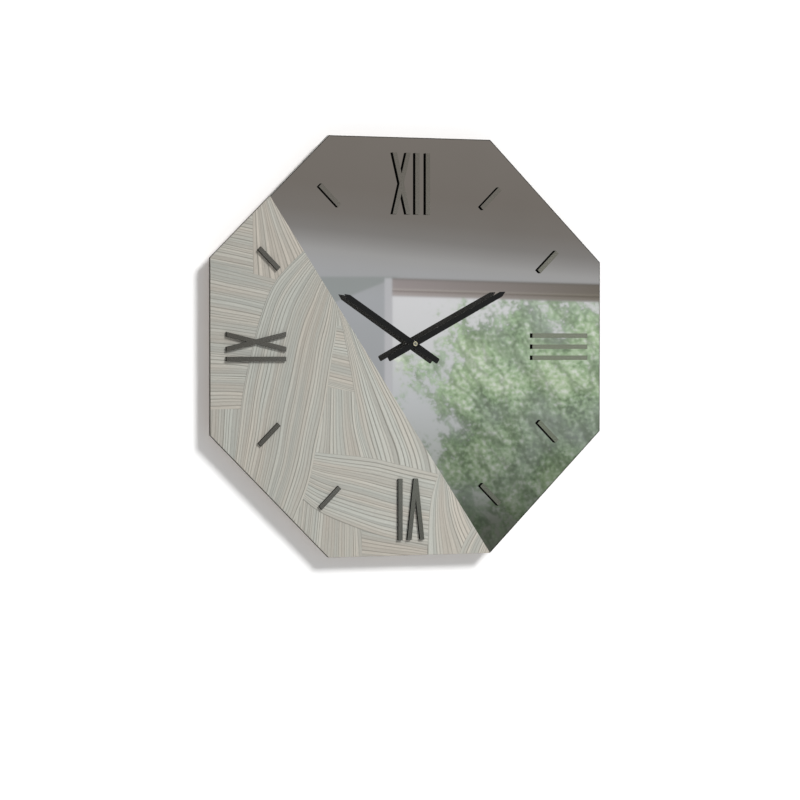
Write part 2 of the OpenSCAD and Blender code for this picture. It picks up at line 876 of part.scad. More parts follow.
module setting_gear() {
    color("#e4e0d4") translate_2d(setting_at) {
        layer(case_wall + axial_play, knob_back + knob_t) disc(setting_r);
        layer(minute_wheel_d - pinion_over, minute_wheel_d + wheel_t + pinion_over)
            rotate(mesh_phase(minute_teeth, cannon_teeth, setting_dir))
                pinion_2d(cannon_teeth, motion_module);
    }
}

module setting_knob() {
    grips = 12;
    color("#2c2e30") translate_2d(setting_at) layer(knob_back, knob_back + knob_t) difference() {
        disc(knob_d / 2);
        for (i = [0 : grips - 1]) disc(0.7, polar(knob_d / 2 + 0.3, i * 360 / grips));
        disc(setting_r);
    }
}

module cover_2d() {
    area(-case_in + 0.15, works_low - 0.3, case_in - 0.15, works_high - 0.15);
}

module back_cover() {
    color("#2b2d2f") {
        layer(cover_d, case_depth) difference() {
            cover_2d();
            disc(cup_r, setting_at);
        }
        layer(cup_d, cover_d) translate(setting_at) ring(cup_r + cup_wall, cup_r);
        layer(cup_d, cup_d + cup_floor_t) translate(setting_at)
            ring(cup_r + cup_wall, setting_r + 0.3);
    }
}

mirror_panel();
wood_panel();
base_board();
numeral_xii();
numeral_iii();
numeral_vi();
numeral_ix();
hour_ticks();
hour_hand();
minute_hand();
minute_nut();
rail_top();
rail_bottom();
stile_left();
stile_right();
hanger_plate();
hanger_screws();
wall_bumpers();
movement_case();
threaded_bush();
rubber_gasket();
bush_nut();
face_washer();
hour_wheel();
minute_wheel();
minute_arbor();
centre_wheel();
third_wheel();
seconds_wheel();
step_wheel();
rotor();
mid_plate();
train_bridge();
stator();
coil_core();
coil_bobbin();
coil_winding();
circuit_board();
chip_cover();
quartz_crystal();
contact_plus();
contact_minus();
battery();
setting_gear();
setting_knob();
back_cover();
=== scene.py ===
import math

import bmesh
import bpy
import numpy as np
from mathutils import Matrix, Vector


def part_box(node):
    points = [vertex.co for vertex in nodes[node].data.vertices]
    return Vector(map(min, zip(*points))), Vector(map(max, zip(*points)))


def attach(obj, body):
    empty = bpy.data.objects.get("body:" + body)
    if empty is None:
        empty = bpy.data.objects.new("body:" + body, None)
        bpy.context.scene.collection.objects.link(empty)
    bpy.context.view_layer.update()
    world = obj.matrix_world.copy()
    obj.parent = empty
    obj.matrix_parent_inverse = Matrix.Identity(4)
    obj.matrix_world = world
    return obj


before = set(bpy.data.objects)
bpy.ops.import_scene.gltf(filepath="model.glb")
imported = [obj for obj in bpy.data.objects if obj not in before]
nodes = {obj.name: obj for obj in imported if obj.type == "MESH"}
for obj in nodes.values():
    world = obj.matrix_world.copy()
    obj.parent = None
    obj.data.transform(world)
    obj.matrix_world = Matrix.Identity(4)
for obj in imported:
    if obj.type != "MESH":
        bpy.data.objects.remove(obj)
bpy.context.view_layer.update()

mm = 0.001
boardLow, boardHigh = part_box("base_board")
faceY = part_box("mirror_panel")[0].y
faceMid = (boardLow + boardHigh) / 2
halfAcross = boardHigh.x - faceMid.x
print("frame loaded,", len(nodes), "nodes")


def linearColour(hexText):
    # sRGB hex to linear: c/12.92 below 0.04045, else ((c + 0.055)/1.055)^2.4
    srgb = np.array([int(hexText[i:i + 2], 16) for i in (1, 3, 5)]) / 255
    low = srgb / 12.92
    high = ((srgb + 0.055) / 1.055) ** 2.4
    return (*np.where(srgb <= 0.04045, low, high).tolist(), 1.0)


def addNode(tree, kind, inputs=(), out=None, **settings):
    # one node; inputs maps a socket to a value or to the socket that feeds it. Gives the
    # output that out names, or else the first that the settings leave in use
    node = tree.nodes.new("ShaderNode" + kind)
    for name, value in settings.items():
        setattr(node, name, value)
    for key, value in dict(inputs).items():
        if isinstance(value, bpy.types.NodeSocket):
            tree.links.new(value, node.inputs[key])
        else:
            node.inputs[key].default_value = value
    return node.outputs[out] if out else next((s for s in node.outputs if s.enabled), None)


def splitLine():
    # from the middle of the upper left side to the lower right corner, as its top end, from
    # the middle of the face, and the direction square to it that points up into the mirror
    edge = halfAcross * math.tan(math.pi / 8)
    top = np.array([-(edge + halfAcross) / 2, 0, (edge + halfAcross) / 2])
    foot = np.array([edge, 0, -halfAcross])
    run = (foot - top) / np.linalg.norm(foot - top)
    return top, np.array([-run[2], 0, run[0]])


def startMaterial(name, metallic=0.0, roughness=0.5, specular=0.5):
    material = bpy.data.materials.new(name)
    material.use_nodes = True
    tree = material.node_tree
    tree.nodes.clear()
    surface = addNode(tree, "BsdfPrincipled", {"Metallic": metallic, "Roughness": roughness,
                                               "Specular IOR Level": specular})
    addNode(tree, "OutputMaterial", {"Surface": surface})
    return material, tree, surface.node


def objectPoint(tree, stretch=(1, 1, 1)):
    # a point of the piece in millimetres, each axis divided by its stretch
    point = addNode(tree, "TexCoord", out="Object")
    return addNode(tree, "Mapping", {"Vector": point, "Scale": [1 / mm / s for s in stretch]})


def frontShare(tree, way=-1):
    # 1 on faces that look along Y in the given sense, out from the wall by default; else 0
    normal = addNode(tree, "TexCoord", out="Normal")
    towards = addNode(tree, "VectorMath", {0: normal, 1: (0, way, 0)}, operation="DOT_PRODUCT")
    return addNode(tree, "Math", {0: towards, 1: 0.5}, operation="GREATER_THAN")


def paint(tree, base, *coats):
    # lays coats of colour over a base; each is its share, its colour and, unless it simply
    # covers, its blend
    for share, coat, *blend in coats:
        base, coat = (linearColour(c) if isinstance(c, str) else c for c in (base, coat))
        base = addNode(tree, "Mix", {0: share, 6: base, 7: coat}, data_type="RGBA",
                       blend_type=blend[0] if blend else "MIX")
    return base


def setFinish(tree, shader, colour, gloss, relief=()):
    # gloss is a value with the roughness at its 0 and its 1; relief is a height with its
    # depth in millimetres and its strength
    tree.links.new(colour, shader.inputs["Base Color"])
    spread = addNode(tree, "MapRange", {"Value": gloss[0], "To Min": gloss[1],
                                        "To Max": gloss[2]})
    tree.links.new(spread, shader.inputs["Roughness"])
    if relief:
        bump = addNode(tree, "Bump", {"Height": relief[0], "Distance": relief[1] * mm,
                                      "Strength": relief[2]})
        tree.links.new(bump, shader.inputs["Normal"])


# Silvered float glass: a clear, faintly grey reflection, dark ground edges, a thin dark rim
mirrorLook = {"tint": "#e3e2e1", "tintDark": "#dcdbd9", "cloudMm": 90, "edge": "#262825",
              "rim": "#6a6a67", "rimMm": 0.9, "roughness": 0.012, "edgeRoughness": 0.35}


def mirrorGlass():
    look = mirrorLook
    material, tree, shader = startMaterial("silveredFloatGlass", 1.0, look["roughness"])
    clouds = addNode(tree, "TexNoise", {"Vector": objectPoint(tree),
                                        "Scale": 1 / look["cloudMm"]})
    # distance from the middle in an octagon's measure: max(|x|, |z|, (|x| + |z|)/sqrt(2))
    middle = addNode(tree, "VectorMath", {0: addNode(tree, "TexCoord", out="Object"),
                                          1: tuple(faceMid)}, operation="SUBTRACT")
    folded = addNode(tree, "VectorMath", {0: middle}, operation="ABSOLUTE")
    slant = addNode(tree, "VectorMath", {0: folded, 1: (0.5 ** 0.5, 0, 0.5 ** 0.5)},
                    operation="DOT_PRODUCT")
    sides = addNode(tree, "SeparateXYZ", {0: folded}).node.outputs
    square = addNode(tree, "Math", {0: sides[0], 1: sides[2]}, operation="MAXIMUM")
    reach = addNode(tree, "Math", {0: square, 1: slant}, operation="MAXIMUM")
    rim = addNode(tree, "Math", {0: reach, 1: halfAcross - look["rimMm"] * mm},
                  operation="GREATER_THAN")
    front = frontShare(tree)
    glass = paint(tree, look["tint"], (clouds, look["tintDark"]), (rim, look["rim"]))
    setFinish(tree, shader, paint(tree, look["edge"], (front, glass)),
              (front, look["edgeRoughness"], look["roughness"]))
    return material


# Half-bright grey film on laser-cut marks, which takes on the tone of the room; matt black
# edges. The same film is drawn a shade darker on the veneer, as painted shade
markLook = {"face": "#b4b2ab", "faceDark": "#a3a19a", "edge": "#121211", "grainMm": 1.4,
            "metallic": 0.9, "roughness": 0.1, "edgeRoughness": 0.7, "relief": (0.03, 0.4),
            "paintedShadeOnVeneer": 0.8}


def markFilm():
    look = markLook
    material, tree, shader = startMaterial("halfBrightMarkFilm", 0.0, look["roughness"], 0.0)
    grain = addNode(tree, "TexNoise", {"Vector": objectPoint(tree),
                                       "Scale": 1 / look["grainMm"], "Detail": 3.0})
    # below the split: the dot product with its upward normal is less than at its top end
    top, way = splitLine()
    height = addNode(tree, "VectorMath", {0: addNode(tree, "TexCoord", out="Object"),
                                          1: tuple(way)}, operation="DOT_PRODUCT")
    limit = faceMid.x * way[0] + faceMid.z * way[2] + float(top @ way)
    below = addNode(tree, "Math", {0: height, 1: limit}, operation="LESS_THAN")
    # painted shade: the same film is drawn darker below the split, on the veneer
    shade = addNode(tree, "MapRange", {"Value": below, "To Min": 1.0,
                                       "To Max": look["paintedShadeOnVeneer"]})
    film = paint(tree, look["face"], (grain, look["faceDark"]), (1.0, shade, "MULTIPLY"))
    front = frontShare(tree)
    metal = addNode(tree, "Math", {0: front, 1: look["metallic"]}, operation="MULTIPLY")
    tree.links.new(metal, shader.inputs["Metallic"])
    setFinish(tree, shader, paint(tree, look["edge"], (front, film)),
              (front, look["edgeRoughness"], look["roughness"]), (grain, *look["relief"]))
    return material


# Simple finishes: a mottled colour, a spread of roughness and a fine relief.
# grain is the size of the mottling and relief its depth, both in mm, along X, Y and Z.
plainLooks = {
    "satinBlackLacquer": {  # sprayed aluminium: near black with a soft sheen; the back is painted light grey as painted light
        "colours": ("#0e0f10", "#141515"), "grain": (2, 2, 2), "metallic": 0.0, "specular": 0.15,
        "roughness": (0.4, 0.5), "relief": 0.01, "back": "#8f9191",
        "nodes": ["hour_hand", "minute_hand"]},
    "turnedBrass": {  # bright pale yellow metal with turning marks
        "colours": ("#e9e6cf", "#cfcaa8"), "grain": (0.4, 0.1, 0.4), "metallic": 1.0,
        "roughness": (0.36, 0.52), "relief": 0.01,
        "nodes": ["minute_nut", "threaded_bush", "centre_wheel"]},
    "zincPlate": {  # passivated steel, silvery with cloudy patches
        "colours": ("#b9bcbf", "#9fa3a6"), "grain": (4, 4, 4), "metallic": 1.0,
        "roughness": (0.28, 0.45), "relief": 0.01, "nodes": ["hanger_plate", "hanger_screws"]},
    "bumperRubber": {  # dull black with a faint bloom
        "colours": ("#1b1b1a", "#2a2a28"), "grain": (1.2, 1.2, 1.2), "metallic": 0.0,
        "roughness": (0.7, 0.9), "relief": 0.05, "nodes": ["wall_bumpers", "rubber_gasket"]},
    "mouldedAbs": {  # spark-eroded black plastic, evenly fine and low in gloss
        "colours": ("#161718", "#1e2021"), "grain": (0.7, 0.7, 0.7), "metallic": 0.0,
        "roughness": (0.45, 0.6), "relief": 0.06,
        "nodes": ["movement_case", "back_cover", "setting_knob"]},
    "blackedSteel": {  # chemically blackened, slightly brown
        "colours": ("#1d1c1b", "#2a2826"), "grain": (0.8, 0.8, 0.8), "metallic": 0.6,
        "roughness": (0.4, 0.6), "relief": 0.02, "nodes": ["bush_nut", "face_washer"]},
    "groundSteel": {  # grey metal with fine lengthwise lines
        "colours": ("#a9abad", "#8b8d90"), "grain": (0.3, 4, 0.3), "metallic": 1.0,
        "roughness": (0.25, 0.4), "relief": 0.01,
        "nodes": ["minute_arbor", "stator", "coil_core"]},
    "whiteAcetal": {  # waxy off-white plastic
        "colours": ("#e6e2d6", "#dcd7c9"), "grain": (3, 3, 3), "metallic": 0.0,
        "roughness": (0.3, 0.45), "relief": 0.02,
        "nodes": ["hour_wheel", "minute_wheel", "third_wheel", "seconds_wheel", "step_wheel",
                  "setting_gear", "mid_plate", "train_bridge", "coil_bobbin"]},
    "sinteredFerrite": {  # dark grey, gritty and faintly metallic
        "colours": ("#3b3b3e", "#4b4b4f"), "grain": (0.4, 0.4, 0.4), "metallic": 0.4,
        "roughness": (0.5, 0.7), "relief": 0.04, "nodes": ["rotor"]},
    "enamelledWire": {  # turns of copper wire, drawn coarser than the real 0.05 mm
        "colours": ("#b5622f", "#7c3716"), "grain": (0.35, 40, 40), "metallic": 0.9,
        "roughness": (0.25, 0.4), "relief": 0.08, "nodes": ["coil_winding"]},
    "circuitLaminate": {  # green lacquer over glass cloth
        "colours": ("#2c6a3a", "#235a30"), "grain": (0.8, 0.8, 0.8), "metallic": 0.0,
        "roughness": (0.25, 0.4), "relief": 0.03, "nodes": ["circuit_board"]},
    "pottingEpoxy": {  # glossy black drop
        "colours": ("#0e0f10", "#151617"), "grain": (1.5, 1.5, 1.5), "metallic": 0.0,
        "roughness": (0.12, 0.25), "relief": 0.02, "nodes": ["chip_cover"]},
    "brightTin": {  # plated spring strip and can, mirror-like with fine scratches
        "colours": ("#d3d5d8", "#bcbfc2"), "grain": (0.5, 3, 3), "metallic": 1.0,
        "roughness": (0.15, 0.3), "relief": 0.01,
        "nodes": ["quartz_crystal", "contact_plus", "contact_minus"]},
}
plainStrength = 0.6


def plainFinish(name, look):
    material, tree, shader = startMaterial(name, look["metallic"], 0.5,
                                           look.get("specular", 0.5))
    grain = addNode(tree, "TexNoise", {"Vector": objectPoint(tree, look["grain"]), "Scale": 1.0,
                                       "Detail": 3.0})
    first, second = look["colours"]
    colour = paint(tree, first, (grain, second))
    # painted light: a lighter back, for the light that the mirror throws onto the hands
    if "back" in look:
        colour = paint(tree, colour, (frontShare(tree, 1), look["back"]))
    setFinish(tree, shader, colour, (grain, *look["roughness"]),
              (grain, look["relief"], plainStrength))
    return material


# Planed pine: straw-coloured, with darker late wood along each member and fine pores
pineLook = {"early": "#d3b187", "late": "#b0844f", "ringMm": 5.5, "waveMm": 260,
            "lateWood": (0.42, 0.6), "poreMm": (0.5, 32.5), "poreNoise": (0.3, 0.7),
            "poreTone": (0.88, 1.04), "roughness": (0.5, 0.68), "relief": (0.08, 0.5)}


def planedPine(name, alongAxis):
    look = pineLook
    material, tree, shader = startMaterial(name, 0.0, 0.6, 0.3)
    stretch = [look["ringMm"]] * 3
    stretch[alongAxis] = look["waveMm"]
    rings = addNode(tree, "TexNoise", {"Vector": objectPoint(tree, stretch), "Scale": 1.0,
                                       "Detail": 2.0, "Distortion": 0.6})
    low, high = look["lateWood"]
    bands = addNode(tree, "MapRange", {"Value": rings, "From Min": low, "From Max": high},
                    interpolation_type="SMOOTHSTEP")
    across, along = look["poreMm"]
    stretch = [across] * 3
    stretch[alongAxis] = along
    pores = addNode(tree, "TexNoise", {"Vector": objectPoint(tree, stretch), "Scale": 1.0,
                                       "Detail": 2.0})
    (low, high), (dark, light) = look["poreNoise"], look["poreTone"]
    tone = addNode(tree, "MapRange", {"Value": pores, "From Min": low, "From Max": high,
                                      "To Min": dark, "To Max": light})
    wood = paint(tree, look["early"], (bands, look["late"]), (1.0, tone, "MULTIPLY"))
    setFinish(tree, shader, wood, (bands, *look["roughness"]), (pores, *look["relief"]))
    return material


# Fibreboard: brown pressed fibres, cloudy, and darker where the saw scorched the rim
boardLook = {"face": "#826a4f", "faceDark": "#5f4a35", "fibreMm": 1.3, "cloudMm": 45,
             "cloudNoise": (0.3, 0.7), "cloudTone": (0.86, 1.08), "rim": "#4a453f",
             "roughness": (0.7, 0.9), "relief": (0.08, 0.6)}


def pressedFibreboard(name, front):
    # front is the colour of the side that the facing covers
    look = boardLook
    material, tree, shader = startMaterial(name, 0.0, 0.8, 0.2)
    fibres = addNode(tree, "TexNoise", {"Vector": objectPoint(tree),
                                        "Scale": 1 / look["fibreMm"], "Detail": 5.0,
                                        "Roughness": 0.7})
    clouds = addNode(tree, "TexNoise", {"Vector": objectPoint(tree),
                                        "Scale": 1 / look["cloudMm"], "Detail": 4.0})
    (low, high), (dark, light) = look["cloudNoise"], look["cloudTone"]
    tone = addNode(tree, "MapRange", {"Value": clouds, "From Min": low, "From Max": high,
                                      "To Min": dark, "To Max": light})
    normal = addNode(tree, "SeparateXYZ", {0: addNode(tree, "TexCoord", out="Normal")}, out="Y")
    flat = addNode(tree, "Math", {0: normal}, operation="ABSOLUTE")
    side = addNode(tree, "Math", {0: flat, 1: 0.5}, operation="LESS_THAN")
    colour = paint(tree, look["face"], (fibres, look["faceDark"]), (1.0, tone, "MULTIPLY"),
                   (frontShare(tree), front), (side, look["rim"]))
    setFinish(tree, shader, colour, (fibres, *look["roughness"]), (fibres, *look["relief"]))
    return material


# Battery sleeve: glossy plain film with one band, and bare bright metal at the button end
cellLook = {"sleeve": "#1f4a5c", "sleeveDark": "#193d4d", "cloudMm": 2.5, "band": "#b98a3a",
            "bandMm": 15, "metal": "#c3c5c8", "endMm": 2.2, "roughness": (0.25, 0.35)}


def cellSleeve():
    look = cellLook
    material, tree, shader = startMaterial("printedCellSleeve", 0.0, 0.3)
    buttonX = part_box("battery")[0].x
    across = addNode(tree, "SeparateXYZ", {0: addNode(tree, "TexCoord", out="Object")})
    along = addNode(tree, "MapRange", {"Value": across, "From Min": buttonX,
                                       "From Max": buttonX + mm, "To Max": 1.0}, clamp=False)
    clouds = addNode(tree, "TexNoise", {"Vector": objectPoint(tree),
                                        "Scale": 1 / look["cloudMm"]})
    banded = addNode(tree, "Math", {0: along, 1: look["bandMm"]}, operation="LESS_THAN")
    bare = addNode(tree, "Math", {0: along, 1: look["endMm"]}, operation="LESS_THAN")
    tree.links.new(bare, shader.inputs["Metallic"])
    colour = paint(tree, look["sleeve"], (clouds, look["sleeveDark"]), (banded, look["band"]),
                   (bare, look["metal"]))
    setFinish(tree, shader, colour, (clouds, *look["roughness"]))
    return material


def dress(names, material):
    for name in names:
        if not nodes[name].material_slots:
            nodes[name].data.materials.append(material)
        for slot in nodes[name].material_slots:
            slot.material = material


dress(["mirror_panel"], mirrorGlass())
dress(["numeral_xii", "numeral_iii", "numeral_vi", "numeral_ix", "hour_ticks"], markFilm())
for finishName, finishLook in plainLooks.items():
    dress(finishLook["nodes"], plainFinish(finishName, finishLook))
dress(["rail_top", "rail_bottom"], planedPine("planedPineRail", 0))
dress(["stile_left", "stile_right"], planedPine("planedPineStile", 2))
dress(["base_board"], pressedFibreboard("pressedFibreboard", "#3a332c"))
dress(["wood_panel"], pressedFibreboard("facingBoard", "#8f8e84"))
dress(["battery"], cellSleeve())
print("finishes made")


# The combed veneer. Each swath has a layer, a lean to the warm tint, a brightness and two
# curves, in mm right and up from the middle of the face; its ridges run along them, and a
# higher layer covers a lower one. sways are the ridges' two slow waves: size, the mm along
# and the ridges across that make one radian, and the radians from one swath to the next.
# roughRows measure a swath's length, which gives its rows, and each swath's lines carry on
# from lineOffset ridges past the last swath's, so that no two are alike.
veneer = {
    "ridgeMm": 3.5, "widthSpread": 0.45, "ridgeHighMm": 0.12, "shoulder": 0.15,
    "sway": 0.12, "sways": [(1.0, 41, 2.3, 0), (0.5, 13, -1.7, 1)],
    "bedMm": 0.02, "stepMm": 0.13, "insetMm": 0.15, "rowMm": 6, "rowLimits": (10, 80),
    "roughRows": 24, "lineOffset": 61, "seed": 40,
    "swaths": [
        ("cornerLines", 0, 0.0, 0.98,
         [(-240, 171), (-192, 162)],
         [(-262, 90), (-190, 76)]),
        ("cornerFan", 1, 0.4, 1.02,
         [(-198, 181), (-198, 127), (-197, 69)],
         [(-172, 184), (-150, 149), (-129, 117), (-112, 89)]),
        ("leftLines", 2, 0.0, 0.99,
         [(-259, 100), (-212, 89), (-157, 76)],
         [(-259, -77), (-208, -76), (-157, -81)]),
        ("leftFoot", 3, -0.25, 0.99,
         [(-258, -73), (-258, -154)],
         [(-208, -73), (-218, -154)]),
        ("midWedge", 0, -0.2, 1.0,
         [(-102, 72), (-101, 40), (-104, 14)],
         [(-84, 72), (-78, 40), (-72, 14)]),
        ("midLines", 1, -0.1, 1.0,
         [(-116, 28), (-68, 22)],
         [(-116, -47), (-55, -64)]),
        ("midFoot", 2, -0.2, 1.01,
         [(-121, -45), (-124, -90), (-136, -138)],
         [(-66, -55), (-62, -97), (-46, -141)]),
        ("lowLines", 0, 0.0, 0.97,
         [(-141, -167), (-155, -262)],
         [(-60, -208), (-55, -262)]),
        ("footLines", 1, 0.1, 0.92,
         [(-62, -215), (-17, -227), (31, -239)],
         [(-62, -256), (-17, -259), (31, -263)]),
        ("innerSweep", 3, -0.3, 1.0,
         [(-97, 63), (-87, 25), (-78, -17), (-70, -61), (-62, -100), (-47, -151)],
         [(-84, 63), (-46, -4), (-7, -58), (21, -97), (39, -132), (45, -167)]),
        ("lowSweep", 4, -0.2, 0.99,
         [(-145, -122), (-119, -125), (-55, -132), (-18, -140), (47, -156)],
         [(-154, -164), (-136, -180), (-110, -198), (-55, -220), (-11, -232), (34, -240)]),
        ("footFan", 5, -0.1, 1.03,
         [(40, -144), (31, -167), (26, -186), (23, -218), (22, -259)],
         [(44, -141), (66, -176), (80, -208), (118, -262)]),
        ("footCorner", 6, 0.0, 1.0,
         [(61, -256), (69, -237), (82, -215)],
         [(111, -262), (114, -253), (117, -246)]),
        ("mainSweep", 5, -0.1, 0.97,
         [(-119, 127), (-157, 92), (-175, 69), (-189, 34), (-200, -7), (-210, -52),
          (-216, -97), (-224, -154)],
         [(-87, 73), (-92, 41), (-95, 12), (-100, -14), (-108, -65), (-119, -116),
          (-130, -164), (-154, -221)]),
    ]}

# Bleached veneer drawn with a comb: pale flat ridges with thin grey grooves between them, in
# groups that lean to a warmer or a cooler grey. Pairs in mm are along and across the lines.
combLook = {
    "cool": "#abaca5", "warm": "#b1aba1", "groupMm": (210, 17), "groupNoise": (0.35, 0.65),
    "groove": "#706f67", "grooveShare": 0.26, "grooveTone": (0.3, 1.0),
    "streakMm": (90, 4.5), "streakTone": (0.55, 1.0), "ridgeTone": (0.87, 1.11),
    "fibreMm": (28, 0.7), "fibreTone": (0.91, 1.07), "speckMm": (4, 0.6),
    "speckTone": (0.92, 1.06), "paintedLightToSplit": (0.94, 1.06), "roughness": (0.55, 0.75),
    "relief": (0.06, 0.6)}


def combedSurface(name, ridgeMm):
    # phase = v / mean ridge width; a groove lies at each whole phase, as dark as its own
    # random number; colour = group tint x ridge x painted light towards the split x swath x
    # fibres x specks
    look = combLook
    material, tree, shader = startMaterial(name, 0.0, 0.65, 0.2)
    uv = addNode(tree, "UVMap", uv_map="combLines")
    noiseShare, wholeShare = (0.25, 0.75), (0.0, 1.0)

    def noiseAt(sizeMm, detail=2.0):
        # noise whose features have the given size along and across the lines
        scaled = addNode(tree, "VectorMath", {0: uv, 1: (*sizeMm, 1)}, operation="DIVIDE")
        return addNode(tree, "TexNoise", {"Vector": scaled, "Scale": 1.0, "Detail": detail})

    across = addNode(tree, "SeparateXYZ", {0: uv}, out="Y")
    phase = addNode(tree, "Math", {0: across, 1: ridgeMm}, operation="DIVIDE")
    ridge = addNode(tree, "Math", {0: phase}, operation="FLOOR")
    line = addNode(tree, "Math", {0: phase}, operation="ROUND")
    off = addNode(tree, "Math", {0: phase, 1: line}, operation="SUBTRACT")
    away = addNode(tree, "Math", {0: off}, operation="ABSOLUTE")
    groove = addNode(tree, "MapRange", {"Value": away, "From Min": look["grooveShare"],
                                        "From Max": 0.0}, interpolation_type="SMOOTHSTEP")
    ridgeDraw = addNode(tree, "TexWhiteNoise", {"W": ridge}, noise_dimensions="1D")
    lineDraw = addNode(tree, "TexWhiteNoise", {"W": line}, noise_dimensions="1D")
    fibres = noiseAt(look["fibreMm"], 3.0)
    for value, share, tone in [(lineDraw, wholeShare, look["grooveTone"]),
                               (noiseAt(look["streakMm"]), noiseShare, look["streakTone"])]:
        part = addNode(tree, "MapRange", {"Value": value, "From Min": share[0],
                                          "From Max": share[1], "To Min": tone[0],
                                          "To Max": tone[1]})
        groove = addNode(tree, "Math", {0: groove, 1: part}, operation="MULTIPLY")

    swath = addNode(tree, "SeparateXYZ", {0: addNode(tree, "Attribute", out="Vector",
                                                     attribute_name="swathTone")}).node.outputs
    low, high = look["groupNoise"]
    group = addNode(tree, "MapRange", {"Value": noiseAt(look["groupMm"]), "From Min": low,
                                       "From Max": high})
    warmth = addNode(tree, "Math", {0: group, 1: swath[0]}, operation="ADD", use_clamp=True)
    colour = paint(tree, look["cool"], (warmth, look["warm"]), (1.0, swath[1], "MULTIPLY"))
    sideways = addNode(tree, "SeparateXYZ", {0: addNode(tree, "TexCoord", out="Object")})
    leftHalf = (faceMid.x - halfAcross, faceMid.x)
    # painted light: the second entry draws the left half darker towards its left edge, paler
    # towards the split
    for value, share, tone in [(ridgeDraw, wholeShare, look["ridgeTone"]),
                               (sideways, leftHalf, look["paintedLightToSplit"]),
                               (fibres, noiseShare, look["fibreTone"]),
                               (noiseAt(look["speckMm"]), noiseShare, look["speckTone"])]:
        part = addNode(tree, "MapRange", {"Value": value, "From Min": share[0],
                                          "From Max": share[1], "To Min": tone[0],
                                          "To Max": tone[1]})
        colour = paint(tree, colour, (1.0, part, "MULTIPLY"))
    colour = paint(tree, colour, (groove, look["groove"]))
    setFinish(tree, shader, colour, (fibres, *look["roughness"]), (fibres, *look["relief"]))
    return material


def smoothCurve(points, count):
    # Catmull-Rom curve: each span is the cubic whose end slopes are half the chord between
    # the neighbours on either side; evenly sampled over the points' chord lengths
    p = np.array(points, float)
    p = np.vstack([2 * p[0] - p[1], p, 2 * p[-1] - p[-2]])
    reach = np.concatenate([[0], np.cumsum(np.linalg.norm(np.diff(p[1:-1], axis=0), axis=1))])
    at = np.linspace(0, reach[-1], count)
    span = np.clip(np.searchsorted(reach, at, side="right") - 1, 0, len(reach) - 2)
    t = ((at - reach[span]) / (reach[span + 1] - reach[span]))[:, None]
    a, b, c, d = (p[span + k] for k in range(4))
    return 0.5 * (2 * b + (c - a) * t + (2 * a - 5 * b + 4 * c - d) * t ** 2
                  + (3 * b - a - 3 * c + d) * t ** 3)


def veneerPlanes():
    # the octagon's sides and the line of the split, as (point, outward direction)
    planes = []
    inset = halfAcross - veneer["insetMm"] * mm
    for k in range(8):
        way = np.array([math.cos(k * math.pi / 4), 0, math.sin(k * math.pi / 4)])
        planes.append((way * inset, way))
    planes.append(splitLine())
    return planes


def ridgeEdges(width, rank):
    # running sums of random ridge widths, as shares of the swath's whole width
    draws = np.random.default_rng(veneer["seed"] + rank)
    count = max(3, round(width / veneer["ridgeMm"]))
    widths = 1 + veneer["widthSpread"] * draws.uniform(-1, 1, count)
    return np.concatenate([[0], np.cumsum(widths)]) / widths.sum()


